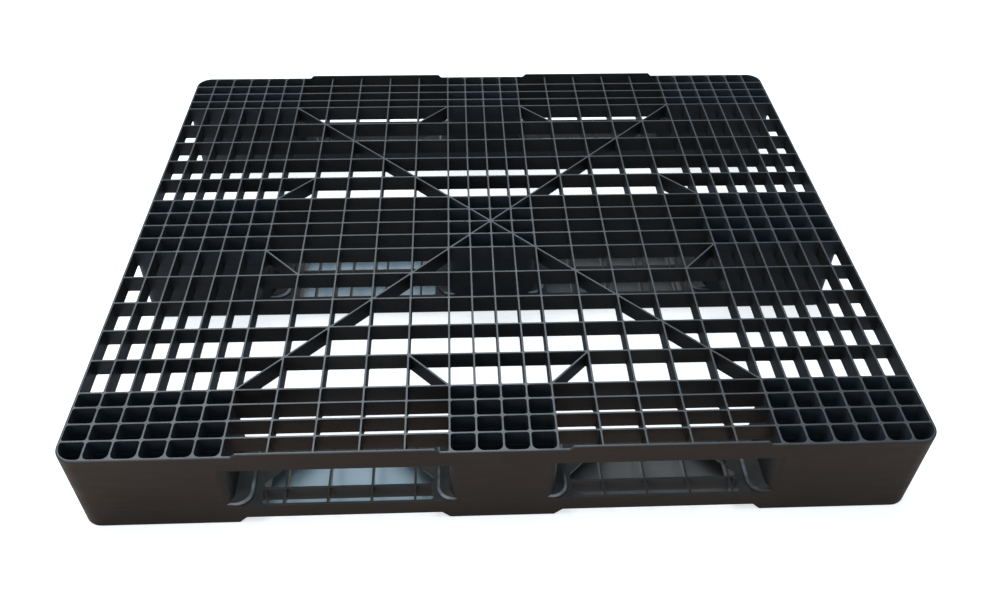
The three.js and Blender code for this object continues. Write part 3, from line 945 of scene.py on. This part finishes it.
def head_rings():
    """Rings of the dished hexagon and its flange, with eased edges, from the lower end up to the
    bearing face."""
    end = -HEAD_HEIGHT
    shoulder = -SCREW_FLANGE_THICKNESS
    return [
        (circle(HEX_R * 0.62), end + HEAD_DISH), (circle(HEX_R * 0.70), end),
        (hexagon(HEX_R * 0.86), end), (hexagon(HEX_R), end + HEX_CHAMFER),
        (hexagon(HEX_R), shoulder), (circle(HEX_R * 1.06), shoulder),
        (circle(SCREW_FLANGE_R - 0.3), shoulder / 2), (circle(SCREW_FLANGE_R), -0.45),
        (circle(SCREW_FLANGE_R), -0.1), (circle(SCREW_FLANGE_R - 0.15), 0.0),
    ]


def thread_rings():
    """Rings of the threaded shank, which narrows to a point at its upper end."""
    rings = []
    count = round(SCREW_LENGTH / THREAD_PITCH * THREAD_RINGS_PER_PITCH)
    for level in range(count + 1):
        height = SCREW_LENGTH * level / count
        point = min(1.0, (SCREW_LENGTH - height) / SCREW_POINT)
        narrowing = SCREW_TIP + (1 - SCREW_TIP) * point
        points = []
        for k, (x, y) in enumerate(circle(1.0, THREAD_SIDES)):
            phase = (height / THREAD_PITCH - k / THREAD_SIDES) % 1.0
            ridge = max(0.0, 1 - abs(phase - 0.5) / THREAD_FLANK)
            radius = (SCREW_R - THREAD_DEPTH * (1 - ridge)) * narrowing
            points.append((radius * x, radius * y))
        rings.append((points, height - SCREW_SUNK))
    return rings


def screw_mesh():
    """Hex flange screw driven upwards: the flange's bearing face is at height 0."""
    screw_shells = Solid()
    screw_shells.stack(head_rings())
    screw_shells.stack(thread_rings())
    return finished(screw_shells.object("screw"), screw_steel, "screw_pattern")


# ---- assembly ----
def place(piece, nodes, slot):
    """Everything rides on the one body: a pallet has no moving part."""
    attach(piece, "root")
    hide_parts(*nodes)


place(deck(), ["top_deck"], "deck_plastic")
for row, row_name in enumerate(ROW_NAMES):
    place(runner(row), [f"{row_name}_runner"], "runner_plastic")

SCREW_SPINS = (0.7, 1.9, 0.4)    # radians of turn added per column, per row and per screw

pattern = screw_mesh()
for (column, row), leg in LEGS.items():
    for k, (x, y) in enumerate(leg["screws"]):
        node = f"screw_{ROW_NAMES[row]}_{COLUMN_NAMES[column]}_{k + 1}"
        screw = pattern.copy()
        screw.name = f"flange_{node}"
        bpy.context.scene.collection.objects.link(screw)
        turn = SCREW_SPINS[0] * column + SCREW_SPINS[1] * row + SCREW_SPINS[2] * k
        seat = Vector((x, y, RUNNER_TOP - FOOT_PLATE - SCREW_GAP)) * MM
        screw.matrix_world = Matrix.Translation(seat) @ Matrix.Rotation(turn, 4, "Z")
        place(screw, [node], "screw_steel")
bpy.data.objects.remove(pattern)


# ---- stage ----
FLOOR_HALF = 30.0
FLOOR_DROP = 0.0005                # the floor lies just below the soles
FLOOR_TONES = ((0.80, 0.81, 0.82), (0.84, 0.845, 0.85))
FLOOR_GLOW = 0.75
SHADE_TINTS = ((0.46, 0.56, 0.61), (0.15, 0.145, 0.14))    # painted shadow on the floor under the runners: bluish and lighter to the left as though lit from there, dark to the right
SHADE_CHANGE = (-0.12, 0.12)       # X over which the left tint gives way to the right one
SHADE_EDGE = 0.004                 # softness of the shade under the runners
OUTER_LIGHT = 0.016                # how far light reaches in under the raised outer edges
BOUNCE_FRONT = (0.53, 0.38, 0.295)     # light that the floor throws on the front
BOUNCE_AROUND = (0.37, 0.375, 0.395)   # on the other sides
BOUNCE_BELOW = (0.21, 0.23, 0.25)      # and on the inside of the pallet
FRONT_LIMITS = (-0.52, -0.45)      # Y over which the front's light gives way to that around
BOUNCE_EDGES = (0.30, 0.05)        # how far the light from the ends and the sides reaches in
SOLE_LIGHT = 0.3                   # light from the floor under the runners, which shows their soles
WORLD_LIGHT = 0.34
WORLD_COLOUR = (0.66, 0.84, 1.0)


def below_box(shader, parts, low, high, edges):
    """1 on the floor below a box, 0 elsewhere, with edges of that softness along X and Y."""
    inside = None
    for axis in (0, 1):
        middle, half = (low[axis] + high[axis]) / 2, (high[axis] - low[axis]) / 2
        offset = shader.math("SUBTRACT", parts.outputs[axis], middle)
        away = shader.math("ABSOLUTE", offset, 0.0)
        across = shader.span(away, half - edges[axis], half, 1.0, 0.0)
        inside = across if inside is None else shader.math("MULTIPLY", inside, across)
    return inside


def below_runners(shader, parts):
    """1 on the floor below the runners, 0 elsewhere and under the raised outer edges."""
    shaded = None
    for row, row_name in enumerate(ROW_NAMES):
        low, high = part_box(f"{row_name}_runner")
        if row == 0:
            low = low + Vector((0, OUTER_LIGHT, 0))
        if row == 2:
            high = high - Vector((0, OUTER_LIGHT, 0))
        inside = below_box(shader, parts, low, high, (SHADE_EDGE, SHADE_EDGE))
        shaded = inside if shaded is None else shader.math("MAXIMUM", shaded, inside)
    return shaded


def floor_material():
    """Pale floor that looks white except for a painted shadow under the runners, throws little
    light on the pallet, and is clear from below."""
    shader = Shader("floor_pale")
    position = shader.node("ShaderNodeTexCoord").outputs["Object"]
    parts = shader.node("ShaderNodeSeparateXYZ", {0: position})
    under = below_runners(shader, parts)

    # As the camera sees it: pale and glowing, with a painted shadow under the runners where the
    # glow is off, bluish and lighter to the left as though lit from there, dark to the right.
    pale = shader.mix(shader.noise(position, 3.0), *FLOOR_TONES)
    tint = shader.mix(shader.span(parts.outputs[0], *SHADE_CHANGE), *SHADE_TINTS)
    tone = shader.mix(under, pale, tint)
    glow_strength = shader.span(under, 0.0, 1.0, FLOOR_GLOW, 0.0)
    glow = shader.node("ShaderNodeEmission", {"Color": tone, "Strength": glow_strength})
    diffuse = shader.node("ShaderNodeBsdfDiffuse", {"Color": tone})
    seen = shader.node("ShaderNodeAddShader", {0: diffuse.outputs[0], 1: glow.outputs[0]})

    # As the pallet is lit by it.
    around = shader.mix(shader.span(parts.outputs[1], *FRONT_LIMITS), BOUNCE_FRONT, BOUNCE_AROUND)
    inside = below_box(shader, parts, deck_low, deck_high, BOUNCE_EDGES)
    bounced = shader.mix(inside, around, BOUNCE_BELOW)
    bounce = shader.node("ShaderNodeBsdfDiffuse", {"Color": bounced})
    lift_strength = shader.span(under, 0.0, 1.0, 0.0, SOLE_LIGHT)
    lift = shader.node("ShaderNodeEmission", {"Strength": lift_strength})
    lighting = shader.node("ShaderNodeAddShader", {0: bounce.outputs[0], 1: lift.outputs[0]})

    path = shader.node("ShaderNodeLightPath")
    above = shader.node("ShaderNodeMixShader", {0: path.outputs["Is Camera Ray"],
                                                1: lighting.outputs[0], 2: seen.outputs[0]})
    from_below = shader.node("ShaderNodeNewGeometry").outputs["Backfacing"]
    clear = shader.node("ShaderNodeBsdfTransparent")
    surface = shader.node("ShaderNodeMixShader",
                          {0: from_below, 1: above.outputs[0], 2: clear.outputs[0]})
    shader.tree.links.new(surface.outputs[0], shader.output.inputs["Surface"])
    return shader.material


floor_corners = rectangle(-FLOOR_HALF, FLOOR_HALF, -FLOOR_HALF, FLOOR_HALF)
floor_mesh = bpy.data.meshes.new("floor")
floor_mesh.from_pydata([(x, y, -FLOOR_DROP) for x, y in floor_corners], [], [(0, 1, 2, 3)])
floor_mesh.materials.append(floor_material())
floor = bpy.data.objects.new("floor", floor_mesh)
bpy.context.scene.collection.objects.link(floor)


def softbox(name, at, look_at, size, power, colour):
    """A rectangular lamp of this size at a place, turned towards another."""
    data = bpy.data.lights.new(name, "AREA")
    data.shape = "RECTANGLE"
    data.size, data.size_y = size
    data.energy = power
    data.color = colour
    lamp = bpy.data.objects.new(name, data)
    bpy.context.scene.collection.objects.link(lamp)
    lamp.location = at
    lamp.rotation_mode = "QUATERNION"
    lamp.rotation_quaternion = (Vector(look_at) - Vector(at)).to_track_quat("-Z", "Y")


softbox("back_softbox", at=(-0.8, 1.9, 3.8), look_at=(-0.1, 0, 0), size=(4.0, 3.0), power=180,
        colour=(0.84, 0.93, 1.0))
softbox("top_softbox", at=(-0.3, -0.6, 3.6), look_at=(0, 0, 0), size=(2.6, 2.0), power=55,
        colour=(0.80, 0.91, 1.0))
softbox("front_softbox", at=(-2.6, -3.6, 1.9), look_at=(0, 0, 0.1), size=(3.0, 2.0), power=40,
        colour=(1.0, 0.90, 0.82))


def studio_world():
    """A world that lights the scene dimly, and shows as plain white behind it."""
    world = bpy.data.worlds.new("studio")
    world.use_nodes = True
    tree = world.node_tree
    tree.nodes.clear()
    lit = tree.nodes.new("ShaderNodeBackground")
    lit.inputs["Color"].default_value = (*WORLD_COLOUR, 1.0)
    lit.inputs["Strength"].default_value = WORLD_LIGHT
    plain = tree.nodes.new("ShaderNodeBackground")
    plain.inputs["Color"].default_value = (1.0, 1.0, 1.0, 1.0)
    path = tree.nodes.new("ShaderNodeLightPath")
    blend = tree.nodes.new("ShaderNodeMixShader")
    output = tree.nodes.new("ShaderNodeOutputWorld")
    tree.links.new(path.outputs["Is Camera Ray"], blend.inputs[0])
    tree.links.new(lit.outputs[0], blend.inputs[1])
    tree.links.new(plain.outputs[0], blend.inputs[2])
    tree.links.new(blend.outputs[0], output.inputs["Surface"])
    return world


bpy.context.scene.world = studio_world()
bpy.context.scene.view_settings.view_transform = "Standard"
